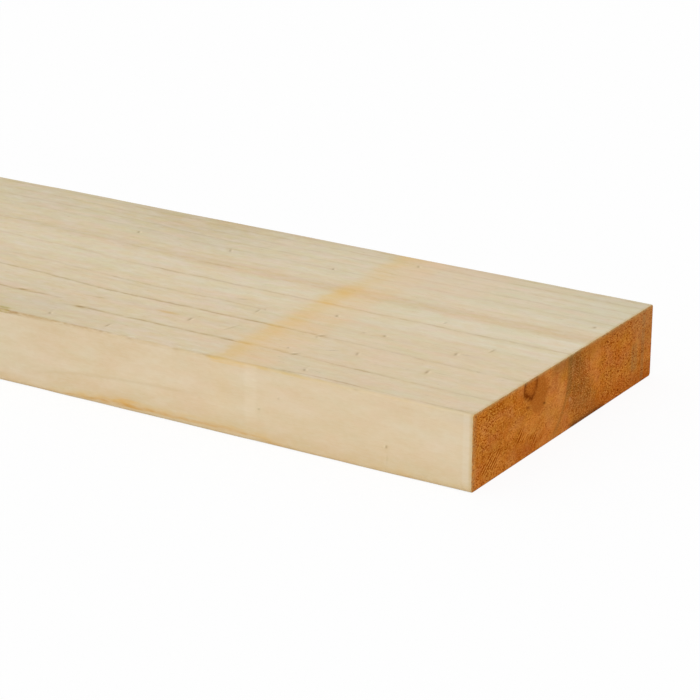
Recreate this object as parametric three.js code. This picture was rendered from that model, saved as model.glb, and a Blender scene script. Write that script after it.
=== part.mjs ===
import * as THREE from 'three';

// A dressed softwood plank: one length of timber, planed on all four long sides, with its four
// long arrises eased and both ends sawn square.
//
// Millimetres. +X runs along the grain, +Y across the width and +Z up through the thickness.
// The origin is the middle of the underside, where the plank rests.

// Driving dimensions
const LENGTH = 2438; // the sold length, from sawn end to sawn end
const WIDTH = 184; // the dressed width, over the two edges
const THICKNESS = 38; // the dressed thickness, over the two faces
const ARRIS_RADIUS = 1.5; // the easing that the planer leaves along each long arris
const ARRIS_CURVE_STEPS = 6; // how finely that easing is divided

// Planed softwood: pale, dry and matt.
function planedSoftwood() {
  return new THREE.MeshStandardMaterial({
    name: 'planed_softwood',
    color: new THREE.Color(0xd9c5a2),
    roughness: 0.72,
    metalness: 0,
  });
}

// The dressed section, drawn with the width across and the thickness up, standing on zero.
// It runs anticlockwise through the four quarter-round arrises, and straight flats join them.
function dressedSection() {
  const right = WIDTH / 2 - ARRIS_RADIUS;
  const left = -right;
  const low = ARRIS_RADIUS;
  const high = THICKNESS - ARRIS_RADIUS;
  const arrises = [
    { across: right, up: low },
    { across: right, up: high },
    { across: left, up: high },
    { across: left, up: low },
  ];
  const quarterTurn = Math.PI / 2;
  const section = new THREE.Shape();
  arrises.forEach(({ across, up }, turn) => {
    const start = (turn - 1) * quarterTurn;
    section.absarc(across, up, ARRIS_RADIUS, start, start + quarterTurn, false);
  });
  section.closePath();
  return section;
}

// The plank itself: the section run along the grain from one sawn end to the other.
function plank() {
  const geometry = new THREE.ExtrudeGeometry(dressedSection(), {
    depth: LENGTH,
    steps: 1,
    curveSegments: ARRIS_CURVE_STEPS,
    bevelEnabled: false,
  });
  geometry.translate(0, 0, -LENGTH / 2);

  const acrossTheWidth = new THREE.Vector3(0, 1, 0);
  const upTheThickness = new THREE.Vector3(0, 0, 1);
  const alongTheGrain = new THREE.Vector3(1, 0, 0);
  const lying = new THREE.Matrix4().makeBasis(acrossTheWidth, upTheThickness, alongTheGrain);

  const mesh = new THREE.Mesh(geometry, planedSoftwood());
  mesh.name = 'plank';
  mesh.quaternion.setFromRotationMatrix(lying);
  return mesh;
}

const timberPlank = new THREE.Group();
timberPlank.name = 'timber_lumber_plank';
timberPlank.add(plank());

export default timberPlank;
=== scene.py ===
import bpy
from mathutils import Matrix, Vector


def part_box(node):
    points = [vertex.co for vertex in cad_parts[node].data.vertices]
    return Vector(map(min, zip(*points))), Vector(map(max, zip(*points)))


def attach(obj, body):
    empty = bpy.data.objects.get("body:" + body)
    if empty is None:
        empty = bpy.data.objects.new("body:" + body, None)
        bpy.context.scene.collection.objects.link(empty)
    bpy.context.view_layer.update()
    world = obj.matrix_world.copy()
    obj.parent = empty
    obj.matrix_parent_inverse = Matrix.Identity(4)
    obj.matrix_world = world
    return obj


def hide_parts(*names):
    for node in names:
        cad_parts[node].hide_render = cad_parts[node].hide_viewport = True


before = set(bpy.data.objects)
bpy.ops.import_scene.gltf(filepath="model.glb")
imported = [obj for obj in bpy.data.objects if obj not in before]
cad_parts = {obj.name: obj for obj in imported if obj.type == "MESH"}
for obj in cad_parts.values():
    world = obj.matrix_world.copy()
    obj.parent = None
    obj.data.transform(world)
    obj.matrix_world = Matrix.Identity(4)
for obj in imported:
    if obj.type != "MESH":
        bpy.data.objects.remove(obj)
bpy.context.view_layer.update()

import math
import random

import bmesh
import bpy
from mathutils import Matrix, Vector, kdtree

# ---------------------------------------------------------------------------------------------
# The blank. One length of dressed softwood, sawn from close beside the heart of a young, fast
# grown log, run through a four-sided planer that eases its long arrises, and docked square with
# a circular saw at both ends.

MM = 0.001
low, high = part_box("plank")
LENGTH = high.x - low.x
WIDTH = high.y - low.y
THICKNESS = high.z - low.z
ARRIS_RADIUS = 1.5 * MM
ARRIS_REACH = 1.3 * ARRIS_RADIUS  # the strip beside each edge that the uneven easing may take up
ARRIS_STEPS = 5
END_EASING = 0.5 * MM  # the torn fibres that the docking saw leaves round each end
END_STEPS = 3
BESIDE = 0.8 * MM  # one narrow step beside each eased strip keeps the flats flat
NEAR_STRETCH = 0.45  # the stretch at the marked end that is divided more finely
NEAR_STEPS = 90
LONG_STEPS = 200  # over the rest of the length
COLUMNS = 24  # across each broad face
ROWS = 5  # up each edge
UNEVEN_EASING = (0.75, 1.25)  # the least and most of the arris radius
UNEVEN_EVERY = 70 * MM  # how far apart the easing's wider places are


class Wire:
    """A number that a node tree carries. Sums written on wires add the nodes that do them."""

    def __init__(self, tree, socket):
        self.tree = tree
        self.socket = socket

    def maths(self, operation, *others):
        return wired(self.tree, "ShaderNodeMath", (self, *others), operation=operation)

    def __add__(self, other):
        return self.maths("ADD", other)

    def __radd__(self, other):
        return self.maths("ADD", other)

    def __sub__(self, other):
        return self.maths("SUBTRACT", other)

    def __rsub__(self, other):
        return self.maths("MULTIPLY_ADD", -1.0, other)

    def __mul__(self, other):
        return self.maths("MULTIPLY", other)

    def __rmul__(self, other):
        return self.maths("MULTIPLY", other)

    def __truediv__(self, other):
        return self.maths("DIVIDE", other)

    def __abs__(self):
        return self.maths("ABSOLUTE")

    def most(self, other):
        return self.maths("MAXIMUM", other)

    def least(self, other):
        return self.maths("MINIMUM", other)

    def root(self):
        return self.maths("SQRT")

    def wave(self):
        return self.maths("SINE")

    def bell(self, centre, spread):
        """1 at the centre, falling away smoothly on both sides."""
        off = (self - centre) / spread
        return (off * off * -1.0).maths("EXPONENT")

    def ramp(self, start, end, first=0.0, last=1.0, shape="SMOOTHSTEP"):
        """first up to start, last from end onwards, and a smooth or straight change between."""
        values = (self, start, end, first, last)
        return wired(self.tree, "ShaderNodeMapRange", values, interpolation_type=shape)


def plug(tree, value, socket):
    if isinstance(value, Wire):
        tree.links.new(value.socket, socket)
    else:
        socket.default_value = value


def wired(tree, kind, values=(), output=0, **settings):
    """Adds a node, plugs the values into its first sockets in order and returns one output."""
    node = tree.nodes.new(kind)
    for name, setting in settings.items():
        setattr(node, name, setting)
    for value, socket in zip(values, node.inputs):
        plug(tree, value, socket)
    return Wire(tree, node.outputs[output])


def parted(vector):
    """The three numbers of a vector wire."""
    node = vector.tree.nodes.new("ShaderNodeSeparateXYZ")
    plug(vector.tree, vector, node.inputs[0])
    return [Wire(vector.tree, output) for output in node.outputs]


def point(x, y, z):
    return wired(x.tree, "ShaderNodeCombineXYZ", (x, y, z))


def noise(x, y, z, detail=2.0, roughness=0.5):
    """Noise from 0 to 1 about one unit across, at a point given by three numbers."""
    node = x.tree.nodes.new("ShaderNodeTexNoise")
    plug(x.tree, point(x, y, z), node.inputs["Vector"])
    node.inputs["Scale"].default_value = 1.0
    node.inputs["Detail"].default_value = detail
    node.inputs["Roughness"].default_value = roughness
    return Wire(x.tree, node.outputs[0])


def stretches(share, lengths, counts):
    """Turns a share from 0 to 1 of all the steps into a distance along unequal stretches."""
    total = sum(counts)
    place = 0.0
    done = 0
    for length, count in zip(lengths, counts):
        start = done / total
        done += count
        place = share.ramp(start, done / total, 0.0, length, "LINEAR") + place
    return place


class Tree:
    """A geometry tree with a geometry coming in, named sizes and a geometry going out."""

    def __init__(self, name, sizes):
        self.nodes = bpy.data.node_groups.new(name, "GeometryNodeTree")
        sockets = self.nodes.interface
        sockets.new_socket("Geometry", in_out="INPUT", socket_type="NodeSocketGeometry")
        self.named = {}
        for size in sizes:
            kind = "NodeSocketObject" if size == "Marks" else "NodeSocketFloat"
            self.named[size] = sockets.new_socket(size, in_out="INPUT", socket_type=kind)
        sockets.new_socket("Geometry", in_out="OUTPUT", socket_type="NodeSocketGeometry")
        self.entry = self.nodes.nodes.new("NodeGroupInput")
        self.shape = Wire(self.nodes, self.entry.outputs[0])

    def size(self, name):
        return Wire(self.nodes, self.entry.outputs[name])

    def place(self):
        return wired(self.nodes, "GeometryNodeInputPosition")

    def then(self, kind, *values, **settings):
        """Passes the shape so far through one more node."""
        self.shape = wired(self.nodes, kind, (self.shape, *values), **settings)

    def store(self, name, value, kind, domain):
        node = self.nodes.nodes.new("GeometryNodeStoreNamedAttribute")
        node.data_type = kind
        node.domain = domain
        node.inputs["Name"].default_value = name
        plug(self.nodes, self.shape, node.inputs["Geometry"])
        plug(self.nodes, value, node.inputs["Value"])
        self.shape = Wire(self.nodes, node.outputs[0])

    def shaped(self, base, values):
        """The mesh that this tree makes of a base mesh, with its named sizes set."""
        end = self.nodes.nodes.new("NodeGroupOutput")
        plug(self.nodes, self.shape, end.inputs[0])
        carrier = bpy.data.objects.new(self.nodes.name, base)
        bpy.context.scene.collection.objects.link(carrier)
        modifier = carrier.modifiers.new(self.nodes.name, "NODES")
        modifier.node_group = self.nodes
        for name, value in values.items():
            modifier[self.named[name].identifier] = value
        shown = carrier.evaluated_get(bpy.context.evaluated_depsgraph_get())
        mesh = bpy.data.meshes.new_from_object(shown)
        carrier.modifiers.remove(modifier)
        bpy.data.objects.remove(carrier)
        return mesh


def planed_blank():
    """The four planed faces, their eased arrises and the two docked ends, as one closed skin."""
    tree = Tree("planed_blank", ("Length", "Width", "Thickness", "Arris radius", "End easing"))
    long_counts = (END_STEPS, 1, LONG_STEPS, NEAR_STEPS, 1, END_STEPS)
    across_counts = (ARRIS_STEPS, 1, COLUMNS, 1, ARRIS_STEPS)
    up_counts = (ARRIS_STEPS, 1, ROWS, 1, ARRIS_STEPS)
    cube = tree.nodes.nodes.new("GeometryNodeMeshCube")
    cube.inputs["Vertices X"].default_value = sum(long_counts) + 1
    cube.inputs["Vertices Y"].default_value = sum(across_counts) + 1
    cube.inputs["Vertices Z"].default_value = sum(up_counts) + 1
    tree.shape = Wire(tree.nodes, cube.outputs["Mesh"])

    length = tree.size("Length")
    width = tree.size("Width")
    thickness = tree.size("Thickness")
    easing = tree.size("End easing")
    x, y, z = parted(tree.place())
    plain = length - NEAR_STRETCH - (easing + BESIDE) * 2.0
    long_lengths = (easing, BESIDE, plain, NEAR_STRETCH, BESIDE, easing)
    across_flat = width - 2.0 * (ARRIS_REACH + BESIDE)
    up_flat = thickness - 2.0 * (ARRIS_REACH + BESIDE)
    along = stretches(x + 0.5, long_lengths, long_counts) - length / 2.0
    across_lengths = (ARRIS_REACH, BESIDE, across_flat, BESIDE, ARRIS_REACH)
    across = stretches(y + 0.5, across_lengths, across_counts) - width / 2.0
    up_lengths = (ARRIS_REACH, BESIDE, up_flat, BESIDE, ARRIS_REACH)
    up = stretches(z + 0.5, up_lengths, up_counts) - thickness / 2.0

    # Each arris is a quarter round, and the planer leaves it a little uneven along its length.
    beat = noise(along / UNEVEN_EVERY, y.ramp(-0.01, 0.01, 0, 9), z.ramp(-0.01, 0.01, 0, 5))
    radius = tree.size("Arris radius") * beat.ramp(0.3, 0.7, *UNEVEN_EASING)
    inner_across = width / 2.0 - radius
    inner_up = thickness / 2.0 - radius
    held_across = across.least(inner_across).most(inner_across * -1.0)
    held_up = up.least(inner_up).most(inner_up * -1.0)
    off_across = across - held_across
    off_up = up - held_up
    furthest = abs(off_across).most(abs(off_up))
    straight = (off_across * off_across + off_up * off_up).root().most(1e-9)
    turn = furthest / straight

    # Each end's outline is drawn in by the same small quarter round.
    short_of_end = (easing - (length / 2.0 - abs(along))).most(0.0)
    drawn_in = easing - (easing * easing - short_of_end * short_of_end).most(0.0).root()
    new_across = (held_across + off_across * turn) * (1.0 - drawn_in / (width / 2.0))
    new_up = (held_up + off_up * turn) * (1.0 - drawn_in / (thickness / 2.0))
    place = point(along, new_across, new_up + thickness / 2.0)
    tree.then("GeometryNodeSetPosition", True, place)
    sizes = {
        "Length": LENGTH,
        "Width": WIDTH,
        "Thickness": THICKNESS,
        "Arris radius": ARRIS_RADIUS,
        "End easing": END_EASING,
    }
    return tree.shaped(bpy.data.meshes.new("blank"), sizes)


plank_mesh = planed_blank()


# ---------------------------------------------------------------------------------------------
# The marks. The feed rollers' teeth, knocks in handling and small beads of resin leave pits and
# dark specks a few millimetres long in the planed faces. The mill's rollers print in rows.

# (mm in from the marked end, mm over from the near edge, heading, reach, width, press, stain)
# stain: how strongly the mark's dirt and painted shade, its painted highlight and its bruise show
TOP_MARKS = (
    (-128.8, 171.0, -60, 1.5, 0.6, 0.10, 0.70),
    (-285.5, 140.5, -60, 1.3, 0.6, 0.10, 1.10),
    (-226.0, 140.5, -60, 2.2, 0.6, 0.12, 0.70),
    (-163.8, 143.5, -60, 1.0, 0.6, 0.08, 1.05),
    (-8.5, 136.0, -80, 1.0, 0.8, 0.12, 0.95),
    (-73.0, 102.0, 85, 1.3, 0.5, 0.12, 0.50),
    (-123.0, 81.8, -60, 1.3, 0.7, 0.15, 0.90),
    (-176.0, 78.0, 15, 2.6, 0.9, 0.08, 0.35),
    (-160.0, 67.2, -84, 3.2, 0.6, 0.20, 0.52),
    (-157.8, 70.6, -45, 1.0, 0.4, 0.10, 0.50),
    (-88.0, 69.3, -60, 1.2, 0.7, 0.15, 0.85),
    (-99.0, 68.2, 0, 0.9, 0.8, 0.09, 0.42),
    (-46.4, 65.8, -75, 1.8, 0.7, 0.25, 0.85),
    (-41.5, 67.4, 5, 2.4, 0.5, 0.05, 0.30),
    (-34.0, 79.0, 88, 2.4, 0.6, 0.14, 0.60),
    (-180.8, 38.4, -82, 2.1, 0.65, 0.20, 0.85),
    (-157.0, 38.9, 74, 4.0, 0.6, 0.16, 0.40),
    (-98.7, 38.5, 30, 2.7, 0.6, 0.08, 0.55),
    (-85.8, 40.5, -68, 1.8, 0.6, 0.20, 0.72),
    (-45.6, 37.2, -78, 2.1, 0.7, 0.25, 0.90),
    (-38.5, 38.8, 0, 4.5, 0.4, 0.03, 0.25),
    (-118.0, 30.0, -50, 0.9, 0.5, 0.06, 0.65),
    (-209.2, 9.1, -88, 2.0, 0.6, 0.18, 0.75),
    (-244.0, 8.4, -50, 1.1, 0.6, 0.12, 1.00),
    (-95.0, 8.5, -55, 1.2, 0.6, 0.15, 0.95),
    (-73.6, 4.0, -75, 1.2, 0.5, 0.14, 0.50),
    (-238.0, 41.2, 8, 3.2, 0.7, 0.03, 0.42),
    (-196.0, 41.0, 0, 5.0, 0.9, 0.03, 0.14),
)
RESIN_BEADS = (
    (-113.9, 52.8, 50, 2.0, 0.8, 0.04, 0.80),
    (-114.8, 50.4, -60, 1.4, 0.5, 0.04, 0.45),
    (-110.7, 24.4, 48, 1.8, 0.85, 0.04, 0.85),
    (-237.4, 24.2, 12, 2.3, 1.2, 0.04, 0.80),
    (-278.0, 30.2, 16, 2.6, 1.0, 0.04, 0.80),
)
NEAR_EDGE_MARKS = (
    (-104.0, 24.5, 30, 0.5, 0.4, 0.05, 0.38),
    (-115.0, 17.0, 0, 0.55, 0.45, 0.06, 0.60),
    (-45.0, 13.0, 80, 0.65, 0.5, 0.10, 0.90),
    (-44.5, 7.2, 87, 2.4, 0.4, 0.02, 0.16),
    (-24.2, 3.8, 88, 1.8, 0.4, 0.02, 0.20),
    (-4.8, 2.6, 88, 1.0, 0.4, 0.02, 0.18),
)
# (mm in from the marked end, reach, press) of the knocks on the near top arris
ARRIS_KNOCKS = ((-190.0, 1.8, 0.30), (-163.0, 2.2, 0.35), (-62.0, 1.6, 0.15))
ROLLER_ROWS = (8.5, 38.5, 67.0, 102.0, 140.5, 171.0)  # mm over from the near edge
ROLLER_PITCH = 43.0
ROLLER_FROM = 430.0  # where the rows go on beyond the marks listed one by one
ROLLER_WANDER = 14  # how far a tooth's print strays along the row
ROLLER_DRIFT = 2.5  # and across it
ROLLER_SHARE = 0.42  # how many of the teeth leave a print that can be seen
ROLLER_SEED = 11  # fixed, so that every run gives the same prints
FAR_MARGIN = 40  # the rows stop this far from the other end
STRAY_MARKS = 26  # on the underside, and half as many on each edge
EDGE_LISTED = 0.4  # the near edge's marks are listed one by one this far in
KNOCK_INSET = 0.4 * MM  # a knock's middle, in from both faces of the arris
SEEN_CUTS = (0.5 * MM, 12)  # the finest division under a mark near the marked end, and the most cuts
FAR_CUTS = (1.0 * MM, 7)
END_CUTS = ((1, 8), (-1, 3))  # which end, and how many cuts across each of its faces
FACE_REACH = 12 * MM  # no face's middle lies further from a mark on it


def mill_marks():
    """Every mark as (place in metres, heading, reach, width, press, stain)."""
    end = LENGTH / 2
    near = -WIDTH / 2
    found = []

    def mark(x, y, z, heading, reach, width, press, stain):
        shape = (math.radians(heading), reach * MM, width * MM, press * MM, stain)
        found.append((Vector((x, y, z)), *shape))

    for along, over, *shape in TOP_MARKS + RESIN_BEADS:
        mark(end + along * MM, near + over * MM, THICKNESS, *shape)
    for along, up, *shape in NEAR_EDGE_MARKS:
        mark(end + along * MM, near, up * MM, *shape)
    for along, reach, press in ARRIS_KNOCKS:
        up = THICKNESS - KNOCK_INSET
        mark(end + along * MM, near + KNOCK_INSET, up, 0, reach, 0.8, press, 0.3)
    chance = random.Random(ROLLER_SEED)
    for turn in range(int((LENGTH / MM - ROLLER_FROM - FAR_MARGIN) / ROLLER_PITCH)):
        for row in ROLLER_ROWS:
            along = -ROLLER_FROM - ROLLER_PITCH * turn
            along += chance.uniform(-ROLLER_WANDER, ROLLER_WANDER)
            over = row + chance.uniform(-ROLLER_DRIFT, ROLLER_DRIFT)
            heading = chance.choice((-75, -60, 88, 30))
            shape = (heading, chance.uniform(1.0, 2.4), 0.55, chance.uniform(0.1, 0.24), 0.75)
            if chance.random() < ROLLER_SHARE:
                mark(end + along * MM, near + over * MM, THICKNESS, *shape)
    for number in range(STRAY_MARKS):
        x = end - chance.uniform(0.02, 0.98) * LENGTH
        over = near + chance.uniform(0.05, 0.95) * WIDTH
        up = chance.uniform(0.15, 0.85) * THICKNESS
        shape = (chance.uniform(-85, 85), chance.uniform(1.0, 2.2), 0.6, 0.14, 0.6)
        mark(x, over, 0.0, *shape)
        if number % 2:
            mark(end - chance.uniform(0.02, 0.98) * LENGTH, WIDTH / 2, up, *shape)
        elif x < end - EDGE_LISTED:
            mark(x, near, up, *shape)
    return found


def divided(mesh, marks):
    """Cuts the skin finer under each mark, and over both sawn ends, so that they can be shaped."""
    seen_from = LENGTH / 2 - NEAR_STRETCH
    shape = bmesh.new()
    shape.from_mesh(mesh)
    faces = list(shape.faces)
    centres = kdtree.KDTree(len(faces))
    for index, face in enumerate(faces):
        centres.insert(face.calc_center_median(), index)
    centres.balance()
    wanted = {}
    for place, heading, reach, width, press, stain in marks:
        finest, most_cuts = SEEN_CUTS if place.x > seen_from else FAR_CUTS
        for spot, index, distance in centres.find_range(place, FACE_REACH):
            face = faces[index]
            half = [max(abs(vert.co[axis] - spot[axis]) for vert in face.verts) for axis in range(3)]
            gap = max(abs(spot[axis] - place[axis]) - half[axis] for axis in range(3))
            longest = max(edge.calc_length() for edge in face.edges)
            if gap < 1.2 * reach and longest > 2 * finest:
                wanted[face] = min(most_cuts, round(longest / finest) - 1)
    for cuts in sorted(set(wanted.values())):
        chosen = [face for face, number in wanted.items() if number == cuts and face.is_valid]
        edges = list({edge for face in chosen for edge in face.edges if edge.calc_length() > 1 * MM})
        bmesh.ops.subdivide_edges(shape, edges=edges, cuts=cuts, use_grid_fill=True)
    for side, cuts in END_CUTS:
        flat = [face for face in shape.faces if face.normal.x * side > 0.99]
        edges = list({edge for face in flat for edge in face.edges if edge.calc_length() > 1 * MM})
        bmesh.ops.subdivide_edges(shape, edges=edges, cuts=cuts, use_grid_fill=True)
    bmesh.ops.triangulate(shape, faces=[face for face in shape.faces if len(face.verts) > 4])
    shape.to_mesh(mesh)
    shape.free()


marks = mill_marks()
divided(plank_mesh, marks)


# ---------------------------------------------------------------------------------------------
# The wood of the planed faces. Fast grown pine: wide pale rings, thin darker lines where each
# season's growth ends, broad soft streaks, a stain where a stacking strip lay, and amber sap.

PITH_OVER = 58.0  # mm over from the near edge at the marked end
PITH_UP = 32.0
NEAR_SIDE = -1
FAR_SIDE = 1
OUTER_NEAR = -2  # near side rings that swing out where the heart bends
WIDE = WIDTH / MM
THICK = THICKNESS / MM
FURTHEST = -LENGTH / MM


def srgb(red, green, blue):
    """A colour written as it looks on a screen, from 0 to 255, in the numbers a shader takes."""
    shares = (red / 255, green / 255, blue / 255)
    return (*(s / 12.92 if s <= 0.04045 else ((s + 0.055) / 1.055) ** 2.4 for s in shares), 1.0)


def tinted(colour, other, share):
    """The colour with some share of another mixed in."""
    node = colour.tree.nodes.new("ShaderNodeMix")
    node.data_type = "RGBA"
    plug(colour.tree, share, node.inputs[0])
    plug(colour.tree, colour, node.inputs[6])
    plug(colour.tree, other, node.inputs[7])
    return Wire(colour.tree, node.outputs[2])


def mottled(colour, field, under, above, share, spread=0.22):
    """The colour with one tint mixed in where a noise is low and another where it is high."""
    colour = tinted(colour, under, field.ramp(0.5 - spread, 0.5, share, 0.0, "LINEAR"))
    return tinted(colour, above, field.ramp(0.5, 0.5 + spread, 0.0, share, "LINEAR"))


def graded(value, steps):
    """A colour that follows a number through (number, colour) steps."""
    first, last = steps[0][0], steps[-1][0]
    node = value.tree.nodes.new("ShaderNodeValToRGB")
    plug(value.tree, value.ramp(first, last, shape="LINEAR"), node.inputs[0])
    elements = node.color_ramp.elements
    for number, colour in steps[1:-1]:
        elements.new((number - first) / (last - first)).color = srgb(*colour)
    elements[0].color = srgb(*steps[0][1])
    elements[len(elements) - 1].color = srgb(*steps[-1][1])
    return Wire(value.tree, node.outputs[0])


def course(value, steps):
    """A number that runs smoothly through (value, number) steps and stays level beyond them."""
    first, last = steps[0][0], steps[-1][0]
    least = min(number for place, number in steps)
    spread = max(number for place, number in steps) - least
    node = value.tree.nodes.new("ShaderNodeFloatCurve")
    points = node.mapping.curves[0].points
    for place, number in steps[1:-1]:
        points.new((place - first) / (last - first), (number - least) / spread)
    points[0].location = (0.0, (steps[0][1] - least) / spread)
    points[len(points) - 1].location = (1.0, (steps[-1][1] - least) / spread)
    node.mapping.update()
    plug(value.tree, value.ramp(first, last, shape="LINEAR"), node.inputs["Value"])
    return Wire(value.tree, node.outputs[0]) * spread + least


def window(value, start, end, soft):
    """1 between start and end, with soft edges of the given width outside them."""
    return value.ramp(start - soft, start) * value.ramp(end, end + soft, 1.0, 0.0)


def spots(first, second, places):
    """Soft spots, each by centre and spread one way, centre and spread the other, and strength."""
    return sum(first.bell(a, b) * second.bell(c, d) * strength for a, b, c, d, strength in places)


class Log:
    """Where a point of the plank lies in the log it was sawn from, in millimetres."""

    def __init__(self, tree):
        x, y, z = parted(wired(tree, "ShaderNodeTexCoord", output=3))
        self.along = along = x / MM - LENGTH / MM / 2  # 0 at the marked end, falling away from it
        self.over = y / MM + WIDE / 2
        self.up = z / MM
        self.tree = tree
        self.zero = along * 0.0

        # The pith isn't straight, so the rings wander across the faces.
        bend = along.ramp(-305, -235, 6.0, 0.0) + along.ramp(-350, -305, 2.0, 0.0)
        bend = bend * self.over.ramp(55, 85, 1.0, 0.75)
        lean = along.ramp(-145, -10, 3.6, 0.0) * self.over.ramp(48, 66, 1.0, 0.0)
        hidden = along.ramp(-620, -340, 1.0, 0.0)
        roam = self.drift(along / 420, 3.1, 40.0) * hidden
        dive = self.drift(along / 600, 9.4, 16.0) * hidden
        self.pith_over = bend + lean + roam + PITH_OVER
        self.pith_up = dive + PITH_UP
        self.sideways = self.over - self.pith_over
        upwards = self.up - self.pith_up
        true_radius = (self.sideways * self.sideways + upwards * upwards).root()
        wobble = self.grain(26, 40, 40, 0, 3.0) - 0.5
        shiver = self.grain(5, 9, 9) - 0.5
        self.radius = true_radius + wobble * 1.5 + shiver * 0.7
        self.far_side = self.sideways.ramp(-6, 6)

        # How far the point is from the planed edges, and from the four long arrises.
        from_edge = self.over.least(WIDE - self.over)
        from_face = self.up.least(THICK - self.up)
        self.edges = from_edge.ramp(0.3, 0.9, 1.0, 0.0)
        self.broad = 1.0 - self.edges
        self.near_edge = self.over.ramp(0.3, 0.9, 1.0, 0.0)
        self.arris = (from_edge + from_face).ramp(0.7, 2.2, 1.0, 0.0)

    def grain(self, along, over, up, seed=0, detail=2.0, roughness=0.5):
        """Noise whose patches are so many mm along the grain, over and up."""
        place = (self.along / along, self.over / over, self.up / up + seed)
        return noise(*place, detail, roughness)

    def drift(self, place, seed, reach):
        """A slow wander to both sides of 0."""
        return (noise(place, self.zero + seed, self.zero, 1.0) - 0.5) * reach


# (radius, width, darkness, side of the pith, from, to) with from and to in mm from the end
SEASON_LINES = (
    (9.8, 0.85, 0.24, NEAR_SIDE, FURTHEST, -140),
    (9.8, 0.85, 0.09, NEAR_SIDE, -245, -140),
    (9.9, 0.85, 0.12, NEAR_SIDE, -150, 0),
    (9.9, 0.80, 0.16, NEAR_SIDE, -134, -112),
    (9.9, 0.80, 0.07, NEAR_SIDE, -74, -56),
    (10.5, 0.90, 0.05, FAR_SIDE, FURTHEST, 0),
    (14.5, 0.90, 0.13, FAR_SIDE, -250, -160),
    (14.3, 0.85, 0.08, FAR_SIDE, FURTHEST, -250),
    (22.8, 0.90, 0.03, FAR_SIDE, -110, 0),
    (37.9, 0.85, 0.35, OUTER_NEAR, -236, -140),
    (37.9, 0.85, 0.13, OUTER_NEAR, -254, -240),
    (37.8, 0.85, 0.13, NEAR_SIDE, -150, 0),
    (37.8, 0.80, 0.16, NEAR_SIDE, -136, -112),
    (37.8, 0.80, 0.14, NEAR_SIDE, -86, -64),
    (30.6, 0.80, 0.28, OUTER_NEAR, FURTHEST, -257),
    (37.9, 0.90, 0.08, FAR_SIDE, FURTHEST, -235),
    (37.9, 0.85, 0.20, FAR_SIDE, -240, 0),
    (59.8, 0.80, 0.08, FAR_SIDE, FURTHEST, -205),
    (59.4, 0.70, 0.12, FAR_SIDE, -226, -212),
    (61.8, 0.80, 0.09, FAR_SIDE, -375, -318),
    (72.0, 0.80, 0.04, FAR_SIDE, FURTHEST, 0),
    (85.5, 0.80, 0.09, FAR_SIDE, FURTHEST, 0),
    (96.0, 0.80, 0.11, FAR_SIDE, FURTHEST, 0),
    (106.5, 0.80, 0.11, FAR_SIDE, FURTHEST, 0),
    (115.7, 0.80, 0.13, FAR_SIDE, FURTHEST, 0),
    (123.0, 0.80, 0.13, FAR_SIDE, FURTHEST, 0),
    (127.4, 0.80, 0.18, FAR_SIDE, FURTHEST, 0),
    (133.0, 0.80, 0.18, FAR_SIDE, FURTHEST, 0),
    (138.0, 0.80, 0.18, FAR_SIDE, FURTHEST, 0),
)
PLAIN_RING = (213, 195, 162)
PALE_RING = (214, 200, 169)
TAN_RING = (206, 184, 148)
OUTER_RING = (210, 197, 167)
LAST_RING = (203, 189, 157)
# (mm from the pith, tone) of the rings on each side of it
FAR_SIDE_RINGS = (
    (0, PLAIN_RING), (22, PLAIN_RING), (25, PALE_RING), (34, PALE_RING), (38, PLAIN_RING),
    (41, PALE_RING), (53, PALE_RING), (57, TAN_RING), (64, TAN_RING), (67, PLAIN_RING),
    (71, PLAIN_RING), (75, PALE_RING), (82, OUTER_RING), (110, OUTER_RING), (118, LAST_RING),
    (140, LAST_RING),
)
NEAR_SIDE_RINGS = ((0, PLAIN_RING), (40, (213, 194, 161)), (90, (209, 191, 158)))
# (mm up, tone) of the edges, darker low down: painted shade near the floor
EDGE_TONES = (
    (0, (204, 181, 140)), (4, (208, 186, 147)), (9, (212, 190, 154)), (14, (215, 194, 159)),
    (38, (216, 195, 161)),
)
LATEWOOD = srgb(148, 108, 46)
LATER_GROWTH = srgb(186, 164, 104)
GREENISH = srgb(200, 196, 161)
PINKISH = srgb(222, 189, 163)
TAN = srgb(197, 165, 117)
WHITISH = srgb(227, 221, 207)
DULL = srgb(196, 167, 120)
BRIGHT = srgb(226, 218, 202)
OLD_WOOD_AND_SHADE = srgb(188, 174, 141)
STAIN = srgb(219, 176, 88)
PEACH = srgb(226, 182, 128)
AMBER = srgb(194, 146, 74)
GRIME_AND_SHADE = srgb(152, 110, 42)
MOSS = srgb(176, 158, 108)
GREY_GREEN = srgb(186, 187, 168)
STRAW = srgb(212, 194, 140)
ROSE = srgb(214, 196, 186)
OLD_LINE = srgb(130, 118, 48)
THIN_SAP = srgb(212, 174, 104)
THICK_SAP = srgb(212, 162, 78)
SPILT_SAP = srgb(203, 169, 85)
FRESH_SAP = srgb(222, 174, 76)
DULL_STREAK = srgb(186, 160, 112)
STRIP_PRINT = srgb(236, 222, 198)
SMEAR = srgb(208, 168, 92)
COOL_WOOD = srgb(204, 196, 184)
RUBBED_AND_SHADED = srgb(190, 166, 122)
KNOT_GREEN = srgb(160, 144, 54)
SCORCHED = srgb(182, 150, 84)
PORE_BROWN = srgb(165, 135, 90)
FLECK_BROWN = srgb(150, 122, 76)
BRUISED = srgb(190, 160, 108)
RESIN = srgb(182, 148, 62)
MARK_DIRT_AND_SHADE = srgb(104, 74, 26)
MARK_HIGHLIGHT = srgb(238, 223, 192)
# (mm from the end, strength) of the dullness further along
DULLED = ((-360, 0.34), (-310, 0.40), (-270, 0.56), (-215, 0.20), (-170, 0.0))
STRIP_EDGE = -142.8  # mm from the end, where the stacking strip's edge meets the near arris
STRIP_SLANT = 0.022  # mm along for each mm over
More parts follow.
